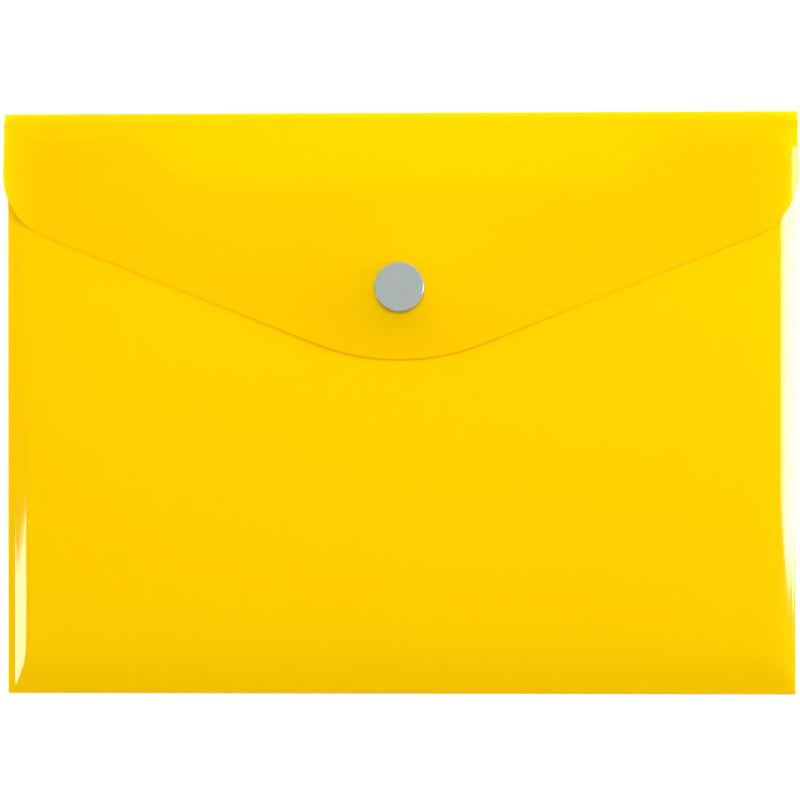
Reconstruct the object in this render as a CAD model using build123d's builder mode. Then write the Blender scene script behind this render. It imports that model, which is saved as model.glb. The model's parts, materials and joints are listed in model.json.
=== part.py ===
# Document wallet: a pocket folded and welded from one sheet of film, with a flap shut by a press stud.
# It lies on its back, in millimetres: X runs across it, Y up to the flap's fold, Z out of the back panel.
import os

from build123d import *

os.makedirs("parts", exist_ok=True)

# Film and pocket
film = 0.3
body_width = 235.0
body_height = 173.0
pocket_room = 5.2
weld_width = 1.8
side_slope_run = 8.0
bottom_slope_run = 13.0
shoulder_radius = 12.0
mouth_drop = 6.5
recess_depth = 15.0
recess_floor_width = 127.0
recess_slope_run = 16.0
recess_radius = 12.0

# Flap: drops are measured down from the top of its fold
lying_gap = 0.3
ear_overhang = 2.0
ear_corner_drop = 31.3
ear_radius = 20.0
point_drop = 78.4
point_radius = 68.0
crown_top_radius = 11.0
crown_foot_radius = 22.0
crown_reach = 26.0
crown_bend_radius = 24.0

# Press stud
stud_drop = 52.1
cap_diameter = 14.7
cap_height = 1.3
cap_rim_radius = 0.5
post_diameter = 3.0
post_head_diameter = 3.9
post_head_height = 0.4
rivet_clearance = 0.1
socket_diameter = 12.2
socket_height = 2.2
socket_web = 0.8
socket_wall = 1.2
collar_wall = 0.7
collar_slot = 0.6
collar_slot_count = 4
lip_height = 0.4
lip_lead = 0.2
lip_relief = 0.2
flange_diameter = 12.2
flange_height = 0.7
boss_diameter = 5.6
boss_height = 1.25
boss_wall = 0.5
boss_floor = 0.3
boss_neck_relief = 0.15
boss_round = 0.2
base_diameter = 12.4
base_height = 0.8
base_rim_radius = 0.3
snap_clearance = 0.2
seat_gap = 0.1

# One overrun serves every cut
overrun = 2.0

# Heights up through the wallet at the stud
front_under = film + pocket_room
front_face = front_under + film
lying_under = front_face + lying_gap
lying_face = lying_under + film
flange_top = front_face + flange_height
socket_bottom = flange_top + seat_gap
flap_under = socket_bottom + socket_height
flap_face = flap_under + film
cap_top = flap_face + cap_height

# Places across and along the wallet
half_width = body_width / 2
weld_inner = half_width - weld_width
plateau_half = weld_inner - side_slope_run
top = body_height / 2
crease = film - body_height / 2
plateau_bottom = crease + bottom_slope_run
mouth = top - mouth_drop
recess_floor = mouth - recess_depth
recess_floor_half = recess_floor_width / 2
recess_half = recess_floor_half + recess_slope_run
stud_y = top - stud_drop
stud_axis = Axis((0, stud_y, 0), (0, 0, 1))
stud_plane = Plane.XZ.offset(-stud_y)
post_radius = post_diameter / 2
post_head_radius = post_head_diameter / 2
post_hole_radius = post_radius + rivet_clearance

# The fold is a half-round from the back panel to the flap, which lies on the pocket
fold_radius = lying_face / 2
fold_inner_radius = fold_radius - film
fold_y = top - fold_radius
fold_start_angle = -90
fold_turn = 180
root_half = half_width + ear_overhang * fold_radius / ear_corner_drop


# Back panel: the flat sheet that lies on the table
with BuildPart() as back_panel:
    with BuildSketch(Plane.XY):
        with Locations((0, (crease + fold_y) / 2)):
            Rectangle(body_width, fold_y - crease)
    extrude(amount=film)
back_panel.part.label = "back_panel"
export_step(back_panel.part, "parts/back_panel.step")


# The room inside the pocket: the front film rises from the welds and the crease to a flat top
room_end = mouth + overrun
with BuildPart() as pocket_form:
    with BuildSketch(Plane.XY.offset(film)):
        with Locations((0, (crease + room_end) / 2)):
            Rectangle(2 * weld_inner, room_end - crease)
    with BuildSketch(Plane.XY.offset(front_under)):
        with Locations((0, (plateau_bottom + room_end) / 2)):
            Rectangle(2 * plateau_half, room_end - plateau_bottom)
    loft()
    shoulders = pocket_form.faces().sort_by(Axis.Z)[-1].edges().sort_by(Axis.Y)[:-1]
    fillet(shoulders, shoulder_radius)

# The front film, one film thick over that room, with a flat strip at each side for the weld
with BuildPart() as front_film:
    with BuildSketch(Plane.XY.offset(film)):
        with Locations((0, (crease + room_end) / 2)):
            Rectangle(body_width, room_end - crease)
    extrude(amount=film)
    with Locations((0, 0, film)):
        add(pocket_form.part)
    add(pocket_form.part, mode=Mode.SUBTRACT)


# Front panel: the flat top of the front film. Its mouth is cut back between the sides for the fingers,
# and it has the hole for the stud's rivet post.
with BuildPart() as front_panel:
    add(front_film.part)
    with BuildSketch(Plane.XY):
        with BuildLine():
            mouth_edge = FilletPolyline(
                (-plateau_half, mouth),
                (-recess_half, mouth),
                (-recess_floor_half, recess_floor),
                (recess_floor_half, recess_floor),
                (recess_half, mouth),
                (plateau_half, mouth),
                radius=recess_radius,
            )
            Polyline(
                mouth_edge @ 1,
                (plateau_half, plateau_bottom),
                (-plateau_half, plateau_bottom),
                mouth_edge @ 0,
            )
        make_face()
    extrude(amount=front_face + overrun, mode=Mode.INTERSECT)
    with Locations((0, stud_y)):
        Hole(post_hole_radius)
front_panel.part.label = "front_panel"
export_step(front_panel.part, "parts/front_panel.step")


# Side seams: the welded strip and the slope up to the front panel, mitred at the bottom corner
with BuildPart() as right_side_seam:
    add(front_film.part)
    with BuildSketch(Plane.XY):
        with BuildLine():
            Polyline(
                (half_width, crease),
                (half_width, mouth),
                (plateau_half, mouth),
                (plateau_half, plateau_bottom),
                (weld_inner, crease),
                close=True,
            )
        make_face()
    extrude(amount=front_face + overrun, mode=Mode.INTERSECT)
right_side_seam.part.label = "right_side_seam"
export_step(right_side_seam.part, "parts/right_side_seam.step")

with BuildPart() as left_side_seam:
    mirror(right_side_seam.part, about=Plane.YZ)
left_side_seam.part.label = "left_side_seam"
export_step(left_side_seam.part, "parts/left_side_seam.step")


# Bottom fold: the pressed crease, half round, and the slope from it up to the front panel
with BuildPart() as bottom_fold:
    add(front_film.part)
    with BuildSketch(Plane.XY):
        with BuildLine():
            Polyline(
                (-weld_inner, crease),
                (weld_inner, crease),
                (plateau_half, plateau_bottom),
                (-plateau_half, plateau_bottom),
                close=True,
            )
        make_face()
    extrude(amount=front_face + overrun, mode=Mode.INTERSECT)
    with BuildSketch(Plane.YZ):
        with BuildLine():
            bead = CenterArc((crease, film), film, 90, 180)
            Line(bead @ 1, bead @ 0)
        make_face()
    extrude(amount=half_width, both=True)
bottom_fold.part.label = "bottom_fold"
export_step(bottom_fold.part, "parts/bottom_fold.step")


# Flap fold: the living hinge between the back panel and the flap
with BuildPart() as flap_fold:
    with BuildSketch(Plane.YZ):
        with BuildLine():
            outside = CenterArc((fold_y, fold_radius), fold_radius, fold_start_angle, fold_turn)
            inside = CenterArc((fold_y, fold_radius), fold_inner_radius, fold_start_angle, fold_turn)
            Line(outside @ 0, inside @ 0)
            Line(outside @ 1, inside @ 1)
        make_face()
    extrude(amount=half_width, both=True)
flap_fold.part.label = "flap_fold"
export_step(flap_fold.part, "parts/flap_fold.step")


# The flap's outline: two rounded ears and a blunt point
with BuildSketch() as flap_outline:
    with BuildLine():
        outline = FilletPolyline(
            (-root_half, fold_y),
            (-half_width - ear_overhang, top - ear_corner_drop),
            (0, top - point_drop),
            (half_width + ear_overhang, top - ear_corner_drop),
            (root_half, fold_y),
            radius=[ear_radius, point_radius, ear_radius],
        )
        Line(outline @ 1, outline @ 0)
    make_face()


# Flap: the sheet that lies on the pocket, up to the crown round the stud
with BuildPart() as flap:
    with BuildSketch(Plane.XY.offset(lying_under)):
        add(flap_outline.sketch)
        with Locations((0, stud_y)):
            Circle(crown_reach, mode=Mode.SUBTRACT)
    extrude(amount=film)
flap.part.label = "flap"
export_step(flap.part, "parts/flap.step")


# Flap crown: the middle of the flap, which the stud holds off the front panel. It is a low round
# rise with the hole for the cap's post, trimmed to the flap's point.
with BuildPart() as flap_crown:
    with BuildSketch(stud_plane):
        with BuildLine():
            FilletPolyline(
                (post_hole_radius, flap_under),
                (crown_top_radius, flap_under),
                (crown_foot_radius, lying_under),
                (crown_reach, lying_under),
                radius=crown_bend_radius,
            )
            offset(amount=film, side=Side.LEFT)
        make_face()
    revolve(axis=stud_axis)
    with BuildSketch(Plane.XY):
        add(flap_outline.sketch)
    extrude(amount=flap_face + overrun, mode=Mode.INTERSECT)
flap_crown.part.label = "flap_crown"
export_step(flap_crown.part, "parts/flap_crown.step")


# Press cap: the round button on the flap, whose post passes through film and socket and is headed over
web_under = flap_under - socket_web
with BuildPart() as press_cap:
    with BuildSketch(stud_plane):
        with BuildLine():
            Polyline(
                (0, cap_top),
                (cap_diameter / 2, cap_top),
                (cap_diameter / 2, flap_face),
                (post_radius, flap_face),
                (post_radius, web_under),
                (post_head_radius, web_under),
                (post_head_radius, web_under - post_head_height),
                (0, web_under - post_head_height),
                close=True,
            )
        make_face()
    revolve(axis=stud_axis)
    rim = press_cap.edges().filter_by(GeomType.CIRCLE).sort_by(Axis.Z)[-1]
    fillet(rim, cap_rim_radius)
press_cap.part.label = "press_cap"
export_step(press_cap.part, "parts/press_cap.step")


# Press socket: a web under the flap, an outer wall, and a slotted collar that springs over the boss
lip_radius = boss_diameter / 2 + snap_clearance
cavity_radius = lip_radius + lip_relief
collar_radius = cavity_radius + collar_wall
groove_radius = socket_diameter / 2 - socket_wall
with BuildPart() as press_socket:
    with BuildSketch(stud_plane):
        with BuildLine():
            Polyline(
                (post_hole_radius, flap_under),
                (socket_diameter / 2, flap_under),
                (socket_diameter / 2, socket_bottom),
                (groove_radius, socket_bottom),
                (groove_radius, web_under),
                (collar_radius, web_under),
                (collar_radius, socket_bottom),
                (lip_radius + lip_lead, socket_bottom),
                (lip_radius, socket_bottom + lip_lead),
                (lip_radius, socket_bottom + lip_height),
                (cavity_radius, socket_bottom + lip_height + lip_relief),
                (cavity_radius, web_under),
                (post_hole_radius, web_under),
                close=True,
            )
        make_face()
    revolve(axis=stud_axis)
    with BuildSketch(Plane.XY.offset(socket_bottom)):
        with Locations((0, stud_y)):
            with PolarLocations((lip_radius + collar_radius) / 2, collar_slot_count):
                Rectangle(collar_radius - lip_radius + 2 * lip_relief, collar_slot)
    extrude(amount=web_under - socket_bottom, mode=Mode.SUBTRACT)
press_socket.part.label = "press_socket"
export_step(press_socket.part, "parts/press_socket.step")


# Press stud: a flange on the front panel and the hollow boss that the socket's collar grips
boss_radius = boss_diameter / 2
boss_top = flange_top + boss_height
boss_floor_top = flange_top + boss_floor
with BuildPart() as press_stud:
    with BuildSketch(stud_plane):
        with BuildLine():
            Polyline(
                (post_hole_radius, front_face),
                (flange_diameter / 2, front_face),
                (flange_diameter / 2, flange_top),
                (boss_radius - boss_neck_relief, flange_top),
                (boss_radius - boss_neck_relief, boss_floor_top),
                (boss_radius, boss_floor_top + boss_neck_relief),
                (boss_radius, boss_top - boss_round),
                (boss_radius - boss_round, boss_top),
                (boss_radius - boss_wall, boss_top),
                (boss_radius - boss_wall, boss_floor_top),
                (post_hole_radius, boss_floor_top),
                close=True,
            )
        make_face()
    revolve(axis=stud_axis)
press_stud.part.label = "press_stud"
export_step(press_stud.part, "parts/press_stud.step")


# Press base: the washer inside the pocket, whose post holds the stud to the front panel
with BuildPart() as press_base:
    with BuildSketch(stud_plane):
        with BuildLine():
            Polyline(
                (0, front_under - base_height),
                (base_diameter / 2, front_under - base_height),
                (base_diameter / 2, front_under),
                (post_radius, front_under),
                (post_radius, boss_floor_top),
                (post_head_radius, boss_floor_top),
                (post_head_radius, boss_floor_top + post_head_height),
                (0, boss_floor_top + post_head_height),
                close=True,
            )
        make_face()
    revolve(axis=stud_axis)
    base_rim = press_base.edges().filter_by(GeomType.CIRCLE).sort_by(Axis.Z)[0]
    fillet(base_rim, base_rim_radius)
press_base.part.label = "press_base"
export_step(press_base.part, "parts/press_base.step")

print(f"fold axis y {fold_y:.2f} z {fold_radius:.2f}, flap z {lying_under:.2f} to {lying_face:.2f}")
print(f"stud y {stud_y:.2f}, cap top z {cap_top:.2f}, front panel z {front_under:.2f} to {front_face:.2f}")
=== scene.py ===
# %% [markdown]
# # A document wallet of coloured film
# The wallet is one sheet of polypropylene film, folded into a pocket, welded at both sides and shut by
# a press stud on its flap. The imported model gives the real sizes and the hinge, so this lesson starts
# from it, and every new piece is worked out from its boxes. Lengths are in millimetres until a mesh is
# made, because film is easier to think about in tenths of a millimetre than in metres.

# %% Load the frame
import json
import math

import bpy
import numpy as np
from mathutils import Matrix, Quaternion, Vector


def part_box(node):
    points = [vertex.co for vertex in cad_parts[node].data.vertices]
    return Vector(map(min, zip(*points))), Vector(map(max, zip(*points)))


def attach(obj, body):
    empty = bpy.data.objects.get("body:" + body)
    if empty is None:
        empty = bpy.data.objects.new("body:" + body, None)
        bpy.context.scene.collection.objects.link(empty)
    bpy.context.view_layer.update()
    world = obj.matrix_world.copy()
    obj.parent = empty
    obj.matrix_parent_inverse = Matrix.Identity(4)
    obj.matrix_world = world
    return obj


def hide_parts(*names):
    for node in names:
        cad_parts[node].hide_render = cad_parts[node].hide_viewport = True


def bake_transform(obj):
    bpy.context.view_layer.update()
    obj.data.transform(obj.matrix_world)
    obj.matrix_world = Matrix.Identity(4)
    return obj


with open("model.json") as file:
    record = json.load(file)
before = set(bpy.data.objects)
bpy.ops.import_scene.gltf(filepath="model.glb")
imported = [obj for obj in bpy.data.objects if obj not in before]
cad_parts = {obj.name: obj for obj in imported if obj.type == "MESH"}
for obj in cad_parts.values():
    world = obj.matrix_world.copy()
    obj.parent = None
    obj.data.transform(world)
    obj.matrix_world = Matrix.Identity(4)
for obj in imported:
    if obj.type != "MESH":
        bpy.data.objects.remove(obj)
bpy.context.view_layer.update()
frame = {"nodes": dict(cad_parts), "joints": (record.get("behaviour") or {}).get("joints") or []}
MM = 0.001

# %% [markdown]
# The frame's boxes give the driving sizes. The film is as thick as the back panel, the mouth is where the
# side seams end, the flap's heights are those of its two nodes, and the fold turns about the hinge.
# Reading them here keeps the looks and the construction on the same numbers.

# %% Sizes from the frame


def node_box(name):
    """A node's lowest and highest corner, as two arrays in millimetres."""
    low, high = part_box(name)
    return np.array(low) / MM, np.array(high) / MM


back_low, back_high = node_box("back_panel")
cap_low, cap_high = node_box("press_cap")
flap_high = node_box("flap")[1]
film = back_high[2] - back_low[2]
half_width = back_high[0]
crease_y = back_low[1]
mouth_y = node_box("right_side_seam")[1][1]
front_top = node_box("front_panel")[1][2]
root_y, lying_top = flap_high[1:]
crown_top = node_box("flap_crown")[1][2]
hinge_y, hinge_z = np.array(frame["joints"][0]["pos_m"])[1:] / MM
fold_radius = hinge_z
stud_y = (cap_low[1] + cap_high[1]) / 2
print(f"film {film:.2f}, half width {half_width:.1f}, crease {crease_y:.1f}, mouth {mouth_y:.1f}")
print(f"front face {front_top:.2f}, flap {lying_top:.2f}, over the stud {crown_top:.2f}")

# %% [markdown]
# The photograph looks straight down on the wallet from about 0.7 m, a little from the right. The camera
# could be aimed by eye, but its place, its small turn and its lens were fitted to the corners of the
# wallet, so the outline falls on the same pixels.

# %% Camera
camera_height = 700.0
camera_right = 17.3
camera_turn_deg = (0.09, 1.42, -0.06)
pixels_per_mm = 3.348
frame_pixels = 800
camera_data = bpy.data.cameras.new("camera")
camera_data.lens = pixels_per_mm * camera_height / frame_pixels * camera_data.sensor_width
camera = bpy.data.objects.new("camera", camera_data)
camera.location = (camera_right * MM, 0, camera_height * MM)
camera.rotation_euler = [math.radians(a) for a in camera_turn_deg]
bpy.context.scene.collection.objects.link(camera)
bpy.context.scene.camera = camera
print(f"lens {camera_data.lens:.1f} mm at {camera_height:.0f} mm")

# %% [markdown]
# A sheet of film is a surface with a thickness. Solidify could give the thickness, but here each sheet
# is a pair of grids: the outer face and the inner face, one film apart along the surface's normal. A
# strip along each border closes the pair, so the cut edge of the film is a real face.

# %% Sheets with a thickness
sharp_angle_deg = 35


def grid_faces(rows, columns, first=0):
    """Quads of a grid of points counted row by row: each takes a point, the next along its row, and
    the same two in the next row."""
    corner = first + np.arange(rows - 1)[:, None] * columns + np.arange(columns - 1)
    return np.stack([corner, corner + 1, corner + columns + 1, corner + columns], axis=-1).reshape(-1, 4)


def border_of(rows, columns):
    """The grid's border as one closed ring of point numbers, first row first, turning with the quads."""
    index = np.arange(rows * columns).reshape(rows, columns)
    return np.concatenate([index[0, :-1], index[:-1, -1], index[-1, :0:-1], index[:0:-1, 0]])


def make_object(name, points, faces, material):
    """A mesh object at the origin from points in millimetres, smooth but for its sharp edges."""
    mesh = bpy.data.meshes.new(name)
    mesh.from_pydata((points * MM).tolist(), [], faces.tolist())
    mesh.validate()
    mesh.shade_smooth()
    mesh.set_sharp_from_angle(angle=math.radians(sharp_angle_deg))
    mesh.materials.append(material)
    made = bpy.data.objects.new(name, mesh)
    bpy.context.scene.collection.objects.link(made)
    return made


def film_sheet(name, outer, inner, material):
    """A closed sheet between two grids of the same shape: outer quads, inner quads turned round, and a
    strip of quads round the border."""
    rows, columns = outer.shape[:2]
    count = rows * columns
    ring = border_of(rows, columns)
    rim = np.stack([np.roll(ring, -1), ring, ring + count, np.roll(ring, -1) + count], axis=-1)
    faces = np.concatenate([grid_faces(rows, columns), grid_faces(rows, columns, count)[:, ::-1], rim])
    points = np.concatenate([outer.reshape(-1, 3), inner.reshape(-1, 3)])
    made = make_object(name, points, faces, material)
    print(f"{name}: {rows} by {columns} points a face, {len(made.data.polygons)} faces")
    return made


def height_grids(x, y, height):
    """Outer and inner face of a sheet given by its height over x and y. The inner face lies one film
    back along the normal, whose slopes come from small steps to each side."""
    step = 0.05
    slope_x = (height(x + step, y) - height(x - step, y)) / (2 * step)
    slope_y = (height(x, y + step) - height(x, y - step)) / (2 * step)
    normal = np.stack([-slope_x, -slope_y, np.ones_like(x)], axis=-1)
    normal /= np.linalg.norm(normal, axis=-1, keepdims=True)
    outer = np.stack([x, y, height(x, y)], axis=-1)
    return outer, outer - film * normal


print("sheets are closed pairs of grids,", f"{film:.2f} mm apart")

# %% [markdown]
# Colours are written as sRGB hex, as a paint chart would give them, and turned to linear light by one
# function. One more small function adds a shader node with its settings and links, and a few others put
# it to its common uses, so each material below reads as a list of what it is made of.

# %% Colours and nodes


def to_linear(hex_colour):
    """An sRGB hex colour as linear RGBA: the standard curve, straight near black and a power above."""
    srgb = np.array([int(hex_colour[i : i + 2], 16) for i in (1, 3, 5)]) / 255
    linear = np.where(srgb <= 0.04045, srgb / 12.92, ((srgb + 0.055) / 1.055) ** 2.4)
    return (*linear.tolist(), 1.0)


def add_node(tree, kind, given):
    """Adds a node. Each entry links an input to a socket, sets a property, or sets an input's value."""
    node = tree.nodes.new(kind)
    for key, value in given.items():
        if isinstance(value, bpy.types.NodeSocket):
            tree.links.new(value, node.inputs[key])
        elif isinstance(key, str) and hasattr(node, key):
            setattr(node, key, value)
        else:
            node.inputs[key].default_value = value
    return node


def new_material(name):
    """An empty material and its node tree."""
    material = bpy.data.materials.new(name)
    material.use_nodes = True
    material.node_tree.nodes.clear()
    return material, material.node_tree


def per_mm(size):
    """The Scale of a texture on Object coordinates, in metres, whose features are size millimetres."""
    return 1 / (size * MM)


def noise_of(tree, place, size, detail):
    """Soft noise from 0 to 1 with features of size millimetres."""
    given = {"Vector": place, "Scale": per_mm(size), "Detail": detail}
    return add_node(tree, "ShaderNodeTexNoise", given).outputs["Fac"]


def colour_between(tree, share, hex_pair):
    """A colour that goes by a share from the first of two hex colours to the second."""
    first, second = (to_linear(hex_colour) for hex_colour in hex_pair)
    given = {"data_type": "RGBA", "Factor": share, 6: first, 7: second}
    return add_node(tree, "ShaderNodeMix", given).outputs[2]


def value_between(tree, share, limits):
    """A value that goes by a share from 0 to 1 between two limits."""
    low, high = limits
    given = {"Value": share, "To Min": low, "To Max": high}
    return add_node(tree, "ShaderNodeMapRange", given).outputs["Result"]


def larger_of(tree, first, second):
    """The larger of two values."""
    given = {"operation": "MAXIMUM", 0: first, 1: second}
    return add_node(tree, "ShaderNodeMath", given).outputs[0]


print("middle grey in linear light:", round(to_linear("#808080")[0], 3))

# %% [markdown]
# The film is coloured polypropylene, extruded and cast on a polished roll. It is glossy and milky: a part
# of the light comes back from its face, a part goes through and is scattered on the way, and a part goes
# straight through. One Principled shader with Transmission would need a refraction at every face, and a
# sheet this thin hardly bends what is behind it. So each face mixes three shaders: Principled for the
# gloss and the light that comes back, Translucent for the scattered light and Transparent for the rest.
# The dye is paler than the wallet looks, because the light passes several faces and each deepens it.
# The fine bump is the roll's orange peel, and the long faint streaks are the die's lines.

# %% Film material
film_tints = ("#FFEC00", "#FFEE00")
film_tint_size = 70.0
film_ior = 1.49
film_roughness = (0.05, 0.08)
haze_size = 14.0
peel_size = 1.6
streak_width = 2.5
streak_length = 160.0
streak_share = 0.6
film_bump = {"Strength": 0.2, "Distance": 0.004 * MM}
scattered_share = 0.52
clear_share = 0.28
clear_tint = "#FFF766"


def cast_film():
    """Coloured polypropylene film, cast on a polished roll: glossy, milky and a little see-through."""
    material, tree = new_material("cast_polypropylene_film")
    place = add_node(tree, "ShaderNodeTexCoord", {}).outputs["Object"]
    colour = colour_between(tree, noise_of(tree, place, film_tint_size, detail=2), film_tints)
    roughness = value_between(tree, noise_of(tree, place, haze_size, detail=3), film_roughness)
    peel = noise_of(tree, place, peel_size, detail=2)
    streak_scale = (per_mm(streak_width), per_mm(streak_length), per_mm(streak_width))
    along = add_node(
        tree, "ShaderNodeMapping", {"Vector": place, "Scale": streak_scale}
    ).outputs["Vector"]
    streaks = add_node(tree, "ShaderNodeTexNoise", {"Vector": along, "Scale": 1.0}).outputs["Fac"]
    relief = add_node(
        tree, "ShaderNodeMath", {"operation": "MULTIPLY_ADD", 0: streaks, 1: streak_share, 2: peel}
    ).outputs[0]
    bump = add_node(tree, "ShaderNodeBump", {**film_bump, "Height": relief}).outputs["Normal"]
    face = add_node(
        tree,
        "ShaderNodeBsdfPrincipled",
        {"Base Color": colour, "Roughness": roughness, "Normal": bump, "IOR": film_ior},
    ).outputs["BSDF"]
    glow = add_node(
        tree, "ShaderNodeBsdfTranslucent", {"Color": colour, "Normal": bump}
    ).outputs["BSDF"]
    milky = add_node(
        tree, "ShaderNodeMixShader", {0: scattered_share, 1: face, 2: glow}
    ).outputs["Shader"]
    clear = add_node(
        tree, "ShaderNodeBsdfTransparent", {"Color": to_linear(clear_tint)}
    ).outputs["BSDF"]
    surface = add_node(
        tree, "ShaderNodeMixShader", {0: clear_share, 1: milky, 2: clear}
    ).outputs["Shader"]
    add_node(tree, "ShaderNodeOutputMaterial", {"Surface": surface})
    return material


film_material = cast_film()
print("made", film_material.name, "with", len(film_material.node_tree.nodes), "nodes")

# %% [markdown]
# The front film is welded to the back along both sides and folded at the bottom, so an empty pocket is
# a shallow pillow. A bevel rises from each side weld and a flatter one from the bottom crease, and they
# meet in a mitre at the corners. The left bevel ends in a pressed line, and the others roll over. Cloth
# simulation could blow it up, but film is stiff: the height here is the lowest of the bevels and a slow
# swell, with rounded corners between them.

# %% Front film's bevels and swell
left_weld = 1.8
right_weld = 0.2
left_bevel_run = 4.8
left_bevel_slopes = (0.62, 0.49)
right_bevel_run = 4.7
right_bevel_slopes = (0.73, 0.36)
bottom_bevel_slope = 0.3
bevel_rise = 2.85
swell_reach_in = 28.0
swell_reach_up = 40.0


def inward_from_weld(x):
    """Distance from the inner edge of the weld of the side that x is on, below 0 on the weld."""
    return half_width - np.where(x < 0, left_weld, right_weld) - np.abs(x)


def bevel_height(distance, run, slopes):
    """Height of a side bevel at a distance in from its weld: its slope goes evenly from the first to the
    second over the run, so the height is a parabola, and straight on from there."""
    steep, gentle = slopes
    within = np.minimum(distance, run)
    return steep * within - (steep - gentle) * within**2 / (2 * run) + gentle * (distance - within)


def filling(distance, reach):
    """How full the pocket is at a distance in from its bevels: 1 less a decaying exponential."""
    return 1 - np.exp(-np.maximum(distance, 0) / reach)


def swell_over(x, y, full):
    """The swell of the film: from the bevels' rise it fills up inward, to all of it on the middle line,
    and upward from the top of the bottom bevel."""
    run = np.where(x < 0, left_bevel_run, right_bevel_run)
    inward = inward_from_weld(x) - run
    sideways = filling(inward, swell_reach_in) / filling(inward + np.abs(x), swell_reach_in)
    upward = filling(y - crease_y - bevel_rise / bottom_bevel_slope, swell_reach_up)
    return bevel_rise + (full - bevel_rise) * sideways * upward


print(f"bevels rise {bevel_rise:.2f} mm, and the swell goes on from there")

# %% [markdown]
# Bevels and swell are now joined with soft corners. A plain minimum would leave a hard crease at every
# joint, and film only has one where it is pressed. The weld strips at the sides keep the fine ridges of
# the welding bar. Last, the swell is scaled so that the front face at the stud is where the CAD has it,
# because the stud is seated there.

# %% Front film's height
crease_rounding = 0.3
roll_rounding = 1.2
ridge_height = 0.06
ridge_spacing = 0.6
room_at_stud = front_top - 2 * film
first_guess = 1.02
full_room = room_at_stud * first_guess


def s_curve(t):
    """0 below 0 and 1 above 1, with a level start and end: 3 t squared less 2 t cubed."""
    t = np.clip(t, 0, 1)
    return t * t * (3 - 2 * t)


def soft_min(a, b, rounding):
    """The lower of a and b, with the corner between them rounded: half of their sum less the root of
    their difference squared plus the rounding squared."""
    return (a + b - np.sqrt((a - b) ** 2 + rounding**2)) / 2


def roll_over(height):
    """The rounding where a bevel rolls over: it grows from 0 at the bevel's foot by an S-curve."""
    return roll_rounding * s_curve(height / roll_rounding)


def pocket_height(x, y):
    """Height of the front film's outer face: two films, and over them the lowest of the side bevel, the
    bottom bevel and the swell. The left bevel has a pressed line at its top, and the other two roll over
    into the swell. The weld strip is flat, with fine ridges along it."""
    inward = inward_from_weld(x)
    eased = (inward + np.sqrt(inward**2 + crease_rounding**2)) / 2
    side = np.where(
        x < 0,
        bevel_height(eased, left_bevel_run, left_bevel_slopes),
        bevel_height(eased, right_bevel_run, right_bevel_slopes),
    )
    bottom = np.maximum(y - crease_y, 0) * bottom_bevel_slope
    rolled = soft_min(bottom, swell_over(x, y, full_room), roll_over(bottom))
    room = soft_min(side, rolled, np.where(x < 0, crease_rounding, roll_over(side)))
    ridges = ridge_height * np.cos(2 * np.pi * inward / ridge_spacing) * s_curve(-inward / ridge_spacing)
    return 2 * film + np.maximum(room, 0) + ridges


full_room *= room_at_stud / (pocket_height(0.0, stud_y) - 2 * film)
print(f"front face at the stud {pocket_height(0.0, stud_y):.3f}, CAD {front_top:.3f}")

# %% [markdown]
# The mouth is cut back in the middle for the fingers, and the cut shows through the flap. A boolean could
# cut it, but here the grid's rows are spread from the crease to the mouth's edge, so the cut edge is
# clean. The grid is finer at the sides and the bottom, where the film bends most.

# %% Front sheet
recess_half = 71.5
recess_run = 24.0
recess_depth = 15.0
edge_band = 16.0
edge_columns = 65
middle_start = 17.0
middle_columns = 91
low_share = 0.12
low_rows = 37
high_rows = 106


def mouth_line(x):
    """The mouth's edge: high at the sides, and lower by the recess between two S-shaped slopes."""
    return mouth_y - recess_depth * s_curve((recess_half - np.abs(x)) / recess_run + 0.5)


edge_x = half_width - np.linspace(0, edge_band, edge_columns)
middle_x = np.linspace(half_width - middle_start, 0, middle_columns)
right_x = np.concatenate([edge_x, middle_x])
column_x = np.concatenate([-right_x, right_x[-2::-1]])
row_shares = np.concatenate([np.linspace(0, low_share, low_rows), np.linspace(low_share, 1, high_rows)[1:]])
front_x = np.broadcast_to(column_x, (len(row_shares), len(column_x)))
front_y = crease_y + row_shares[:, None] * (mouth_line(front_x) - crease_y)
front_outer, front_inner = height_grids(front_x, front_y, pocket_height)
front_sheet = film_sheet("front_sheet", front_outer, front_inner, film_material)
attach(front_sheet, "pocket")
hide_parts("front_panel", "left_side_seam", "right_side_seam", "bottom_fold")

# %% [markdown]
# At the bottom the sheet turns round from the back to the front. The crease is pressed flat, so the turn
# is a half-round bead as thick as two films. A bevelled curve could draw it, but the same pair of grids
# that makes the sheets gives a bead that closes against them.

# %% Bottom crease
bead_rows = 17
across_columns = 95
core_depth = 0.1
core_height = 0.9
bead_turn = np.radians(np.linspace(270, 90, bead_rows))[:, None]
across_x = np.linspace(-half_width, half_width, across_columns)


def bead_grid(depth, height):
    """Half an ellipse round the crease, whose depth and height are shares of the film, carried across."""
    y = crease_y + depth * film * np.cos(bead_turn)
    z = film + height * film * np.sin(bead_turn)
    return np.stack(np.broadcast_arrays(across_x, y, z), axis=-1)


bottom_crease = film_sheet(
    "bottom_crease", bead_grid(1.0, 1.0), bead_grid(core_depth, core_height), film_material
)
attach(bottom_crease, "pocket")

# %% [markdown]
# The flap's fold is a living hinge: the same film, bent round by half a turn that is as deep as the pocket
# and a little squarer than a circle. When the flap opens, the fold unrolls. Here it is made in two
# quarter turns about the hinge, each one film thick.

# %% Flap fold
fold_power = 0.55
fold_rows = 25


def squared(wave):
    """A sine or cosine taken to a power below 1 with its sign kept, which makes a circle squarer."""
    return np.sign(wave) * np.abs(wave) ** fold_power


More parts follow.
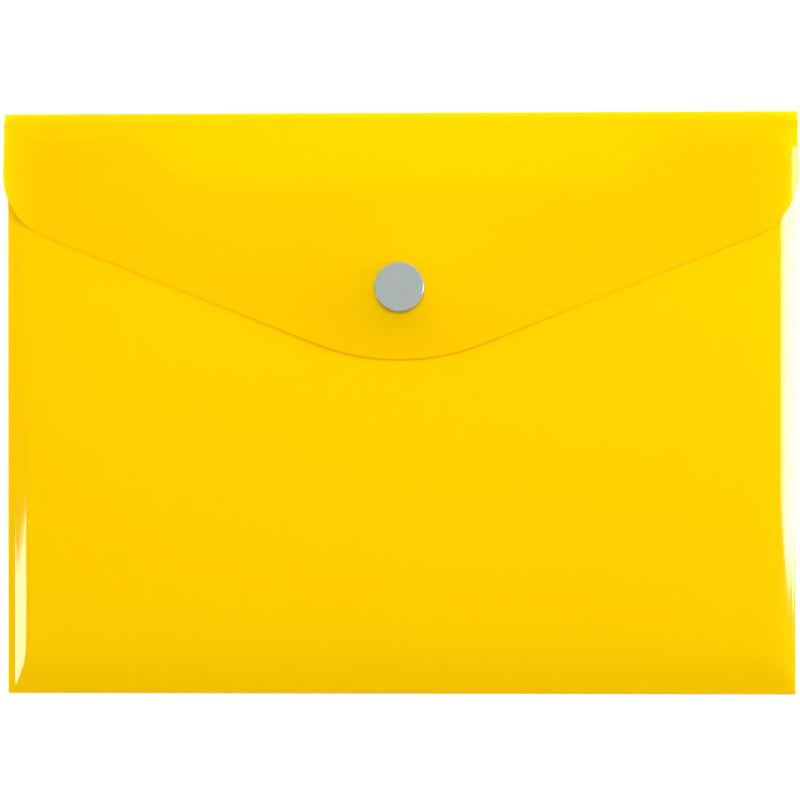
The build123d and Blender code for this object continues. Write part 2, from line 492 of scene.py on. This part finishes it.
def fold_grid(turn_deg, radius):
    """Points of the fold at some angles: a squarish circle about the hinge, carried across the wallet."""
    turn = np.radians(turn_deg)[:, None]
    outward = hinge_y + radius * squared(np.cos(turn))
    upward = hinge_z + radius * squared(np.sin(turn))
    return np.stack(np.broadcast_arrays(across_x, outward, upward), axis=-1)


def fold_piece(name, start_deg, end_deg):
    """A quarter turn of the fold between two angles, one film thick."""
    turn_deg = np.linspace(start_deg, end_deg, fold_rows)
    outer = fold_grid(turn_deg, fold_radius)
    inner = fold_grid(turn_deg, fold_radius - film)
    made = film_sheet(name, outer[::-1], inner[::-1], film_material)
    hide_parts("flap_fold")
    return made


fold_lower = fold_piece("fold_lower", -90, 0)
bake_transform(fold_lower)
fold_upper = fold_piece("fold_upper", 0, 90)
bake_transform(fold_upper)
print(f"fold of radius {fold_radius:.2f} turns half round from the back panel to the flap")

# %% [markdown]
# The flap is die-cut with two rounded ears and a blunt point. The cut edge is worked out as straight runs
# with an arc at each corner, as the die's rule is bent. The flap's grid has a row for each place along
# the edge, from the fold down to the point, and each row runs from edge to edge.

# %% Flap outline
ear_overhang = 1.6
ear_drop = 31.3
ear_radius = 20.0
point_drop = 78.4
point_radius = 68.0
side_rows = 33
ear_rows = 41
slant_rows = 61
point_rows = 40
top_y = hinge_y + fold_radius


def rounded_corner(before, corner, after, radius, count):
    """Points of the arc that rounds a corner: it leaves both lines at the tangent length, radius times
    the tangent of half the turn, and its centre lies on the corner's bisector."""
    into = (corner - before) / np.linalg.norm(corner - before)
    out = (after - corner) / np.linalg.norm(after - corner)
    turn = math.atan2(into[0] * out[1] - into[1] * out[0], into @ out)
    side = math.copysign(1, turn)
    begin = corner - into * radius * math.tan(abs(turn) / 2)
    centre = begin + side * radius * np.array([-into[1], into[0]])
    angles = math.atan2(*(begin - centre)[::-1]) + np.linspace(0, turn, count)
    return centre + radius * np.stack([np.cos(angles), np.sin(angles)], axis=-1)


fold_corner = np.array([half_width, top_y])
ear_corner = np.array([half_width + ear_overhang, top_y - ear_drop])
point_corner = np.array([0, top_y - point_drop])
other_ear = ear_corner * [-1, 1]
ear_arc = rounded_corner(fold_corner, ear_corner, point_corner, ear_radius, ear_rows)
point_arc = rounded_corner(ear_corner, point_corner, other_ear, point_radius, 2 * point_rows + 1)
point_arc = point_arc[:point_rows]
root_x = half_width + ear_overhang * (top_y - root_y) / ear_drop
side_run = np.linspace((root_x, root_y), ear_arc[0], side_rows)
slant_run = np.linspace(ear_arc[-1], point_arc[0], slant_rows)
cut_edge = np.concatenate([side_run[:-1], ear_arc[:-1], slant_run[:-1], point_arc])
widest_x = cut_edge[:, 0].max()
print(f"flap edge: {len(cut_edge)} rows, widest at {widest_x:.2f}, point at {cut_edge[-1, 1]:.2f}")

# %% [markdown]
# The flap lies on the pocket, a hair above it, but for its middle, which the press stud holds up in a low
# crown. Towards the sides the pocket is thinner, so the flap sags after it, and its last millimetres curl
# down. The fold keeps its root straight. Sculpting could give this, but each of these is a simple height
# over x and y, and one function can join them.

# %% Flap sheet
settle_reach = 9.0
lying_gap = 0.05
crown_flat = 7.6
crown_reach = 17.0
crown_reach_down = 8.0
crown_power = 1.3
curl_run = 9.0
curl_drop_left = 0.3
curl_drop_right = 1.35
curl_start = 2.5
flap_columns = 221


def flap_height(x, y):
    """Height of the flap's outer face. It lies a gap and a film above the swell, and it gets there by a
    decaying exponential of the way from the fold. The curl of the sides grows with the square of the
    way into it, and is all there a few millimetres below the fold. The crown over the stud falls as an
    exponential of a power of the distance from the stud, and faster towards the point."""
    below_fold = np.maximum(root_y - y, 0)
    settled = 1 - np.exp(-below_fold / settle_reach)
    into_curl = np.maximum(np.abs(x) - (half_width - curl_run), 0) / curl_run
    curl = np.where(x < 0, curl_drop_left, curl_drop_right) * into_curl**2
    lying = 3 * film + lying_gap + swell_over(x, y, full_room)
    level = lying_top + settled * (lying - lying_top) - curl * (1 - np.exp(-below_fold / curl_start))
    from_stud = np.hypot(x, y - stud_y)
    downward = (np.minimum(y - stud_y, 0) / np.maximum(from_stud, crown_flat)) ** 2
    reach = crown_reach + (crown_reach_down - crown_reach) * downward
    crown = np.exp(-((np.maximum(from_stud - crown_flat, 0) / reach) ** crown_power))
    crown = crown * s_curve(below_fold / settle_reach)
    return level + (crown_top - level) * crown


column_shares = np.sin(np.linspace(-np.pi / 2, np.pi / 2, flap_columns))
flap_x = cut_edge[:, :1] * column_shares
flap_y = np.broadcast_to(cut_edge[:, 1:], flap_x.shape)
flap_outer, flap_inner = height_grids(flap_x, flap_y, flap_height)
flap_sheet = film_sheet("flap_sheet", flap_outer[::-1], flap_inner[::-1], film_material)
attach(flap_sheet, "flap")
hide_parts("flap", "flap_crown")
print(f"flap over the stud {flap_height(0.0, stud_y):.2f}, CAD {crown_top:.2f}")

# %% [markdown]
# The press stud is injection moulded in a grey plastic. The mould is finely eroded, so the faces are
# satin, with a grain too fine to count. The stud's four pieces and the back panel are shaped right in the
# CAD model, so they keep their meshes and only get a finish. Noise gives the grain, because it has no
# seams on a turned piece, as a picture wrapped round it would.

# %% Stud material
stud_tints = ("#959E9A", "#9BA39F")
stud_tint_size = 5.0
stud_ior = 1.48
stud_roughness = (0.2, 0.26)
grain_size = 0.3
stud_bump = {"Strength": 0.3, "Distance": 0.02 * MM}


def moulded_acetal():
    """Grey acetal from an eroded mould: satin, with a fine grain and a faint cloud in its colour."""
    material, tree = new_material("moulded_grey_acetal")
    place = add_node(tree, "ShaderNodeTexCoord", {}).outputs["Object"]
    cloud = noise_of(tree, place, stud_tint_size, detail=2)
    colour = colour_between(tree, cloud, stud_tints)
    roughness = value_between(tree, cloud, stud_roughness)
    grain = noise_of(tree, place, grain_size, detail=3)
    bump = add_node(tree, "ShaderNodeBump", {**stud_bump, "Height": grain}).outputs["Normal"]
    face = add_node(
        tree,
        "ShaderNodeBsdfPrincipled",
        {"Base Color": colour, "Roughness": roughness, "Normal": bump, "IOR": stud_ior},
    ).outputs["BSDF"]
    add_node(tree, "ShaderNodeOutputMaterial", {"Surface": face})
    return material


def dress(name, material):
    """Gives a CAD node a better material in place of its plain one."""
    mesh = frame["nodes"][name].data
    mesh.materials.clear()
    mesh.materials.append(material)


stud_material = moulded_acetal()
for name in ("press_cap", "press_socket", "press_stud", "press_base"):
    dress(name, stud_material)
dress("back_panel", film_material)
print("dressed the stud and the back panel")

# %% [markdown]
# The stage is a plain white floor. It takes the wallet's shadow, and where the camera, a mirror or glass
# looks at it, a little light of its own lifts it to white. Far from the wallet the lamps reach it less,
# so the lift grows with the distance. A brighter lamp could do the same, but it would bleach the film.

# %% Floor
floor_half = 3000.0
floor_colour = "#FCFCFC"
near_lift = 0.25
far_lift = 1.0
lift_from = 500.0
lift_until = 1800.0


def paper_floor():
    """White paper: matt, with a lift to white for the rays that look at it."""
    material, tree = new_material("white_paper_floor")
    rays = add_node(tree, "ShaderNodeLightPath", {}).outputs
    mirrored = larger_of(tree, rays["Is Glossy Ray"], rays["Is Transmission Ray"])
    seen = larger_of(tree, rays["Is Camera Ray"], mirrored)
    place = add_node(tree, "ShaderNodeTexCoord", {}).outputs["Object"]
    distance = add_node(tree, "ShaderNodeVectorMath", {"operation": "LENGTH", 0: place}).outputs["Value"]
    lift = add_node(
        tree,
        "ShaderNodeMapRange",
        {
            "Value": distance,
            "From Min": lift_from * MM,
            "From Max": lift_until * MM,
            "To Min": near_lift,
            "To Max": far_lift,
        },
    ).outputs["Result"]
    given = {"operation": "MULTIPLY", 0: seen, 1: lift}
    own_light = add_node(tree, "ShaderNodeMath", given).outputs[0]
    face = add_node(
        tree,
        "ShaderNodeBsdfPrincipled",
        {
            "Base Color": to_linear(floor_colour),
            "Roughness": 0.9,
            "Specular IOR Level": 0.1,
            "Emission Color": (1, 1, 1, 1),
            "Emission Strength": own_light,
        },
    ).outputs["BSDF"]
    add_node(tree, "ShaderNodeOutputMaterial", {"Surface": face})
    return material


floor_corners = np.array([[-1, -1, 0], [1, -1, 0], [1, 1, 0], [-1, 1, 0]]) * floor_half
floor = make_object("floor", floor_corners, np.array([[0, 1, 2, 3]]), paper_floor())
print(f"floor {2 * floor_half / 1000:.0f} m wide")

# %% [markdown]
# The lamps are a studio's. A large soft box above the top of the wallet and two far ones, low at the sides,
# light the film. Panels at both sides are there for the gloss alone: they show as the white streaks in the
# bevels. One panel with a gradient could stand at the right. Instead three panels of different lengths
# stand on one foot there, which gives a soft upper edge with plain lamps.

# %% Lamps


def soft_box(name, place, width, height, radiance, roll_deg=0):
    """A rectangular lamp at a place in millimetres, aimed at the wallet and rolled about its aim. Its
    power is its radiance times its area times pi."""
    data = bpy.data.lights.new(name, "AREA")
    data.shape = "RECTANGLE"
    data.size = width * MM
    data.size_y = height * MM
    data.energy = radiance * data.size * data.size_y * math.pi
    lamp = bpy.data.objects.new(name, data)
    lamp.location = np.array(place) * MM
    roll = Quaternion((0, 0, 1), math.radians(roll_deg))
    lamp.rotation_euler = ((-Vector(place)).to_track_quat("-Z", "Y") @ roll).to_euler()
    lamp.visible_camera = False
    bpy.context.scene.collection.objects.link(lamp)
    return lamp


shaping_boxes = [
    soft_box("key_box", (30, 380, 560), width=450, height=320, radiance=9.2),
    soft_box("right_fill", (2000, 200, 330), width=500, height=350, radiance=40),
    soft_box("left_fill", (-2000, 0, 330), width=500, height=350, radiance=14),
]
for box in shaping_boxes:
    box.visible_glossy = False
right_foot = np.array((1014.0, 20.0, 92.0))
right_up = np.array((-0.38, 0.0, 0.925))
right_lengths = (760, 580, 390)
gloss_boxes = [
    soft_box(
        f"right_box_{length}",
        right_foot + right_up * length / 2,
        width=290,
        height=length,
        radiance=21,
        roll_deg=-8,
    )
    for length in right_lengths
]
gloss_boxes.append(
    soft_box("left_box", (-900, -203, 310), width=210, height=260, radiance=27, roll_deg=12)
)
for box in gloss_boxes:
    box.visible_diffuse = False
    box.visible_transmission = False
print(len(shaping_boxes), "lamps light the film, and", len(gloss_boxes), "show in its gloss")

# %% [markdown]
# The room fills in from all round, and the camera sees it white. In the gloss it is white at the horizon
# and dim above, because a white ceiling would grey the whole film. A sky picture could give the same, but
# a few nodes need no file. Film passes light on many times from layer to layer, so the paths may bounce
# often.

# %% Room
room_light = 0.48
horizon = 1.0
ceiling = 0.02
horizon_band = 0.12
film_bounces = 32
clear_layers = 16
world = bpy.data.worlds.new("studio")
world.use_nodes = True
room_tree = world.node_tree
room_tree.nodes.clear()
rays = add_node(room_tree, "ShaderNodeLightPath", {}).outputs
mirrored = larger_of(room_tree, rays["Is Glossy Ray"], rays["Is Transmission Ray"])
aim = add_node(room_tree, "ShaderNodeTexCoord", {}).outputs["Generated"]
upward = add_node(room_tree, "ShaderNodeSeparateXYZ", {"Vector": aim}).outputs["Z"]
in_gloss = add_node(
    room_tree,
    "ShaderNodeMapRange",
    {"Value": upward, "From Min": 0.0, "From Max": horizon_band, "To Min": horizon, "To Max": ceiling},
).outputs["Result"]
strength = add_node(
    room_tree, "ShaderNodeMix", {"Factor": mirrored, 2: room_light, 3: in_gloss}
).outputs[0]
strength = add_node(
    room_tree, "ShaderNodeMix", {"Factor": rays["Is Camera Ray"], 2: strength, 3: 1.0}
).outputs[0]
room = add_node(
    room_tree, "ShaderNodeBackground", {"Color": (1, 1, 1, 1), "Strength": strength}
).outputs["Background"]
add_node(room_tree, "ShaderNodeOutputWorld", {"Surface": room})
bpy.context.scene.world = world
bpy.context.scene.view_settings.view_transform = "Standard"
cycles = bpy.context.scene.cycles
cycles.max_bounces = film_bounces
cycles.diffuse_bounces = film_bounces
cycles.transparent_max_bounces = clear_layers
print("room light", room_light, "and up to", film_bounces, "bounces")
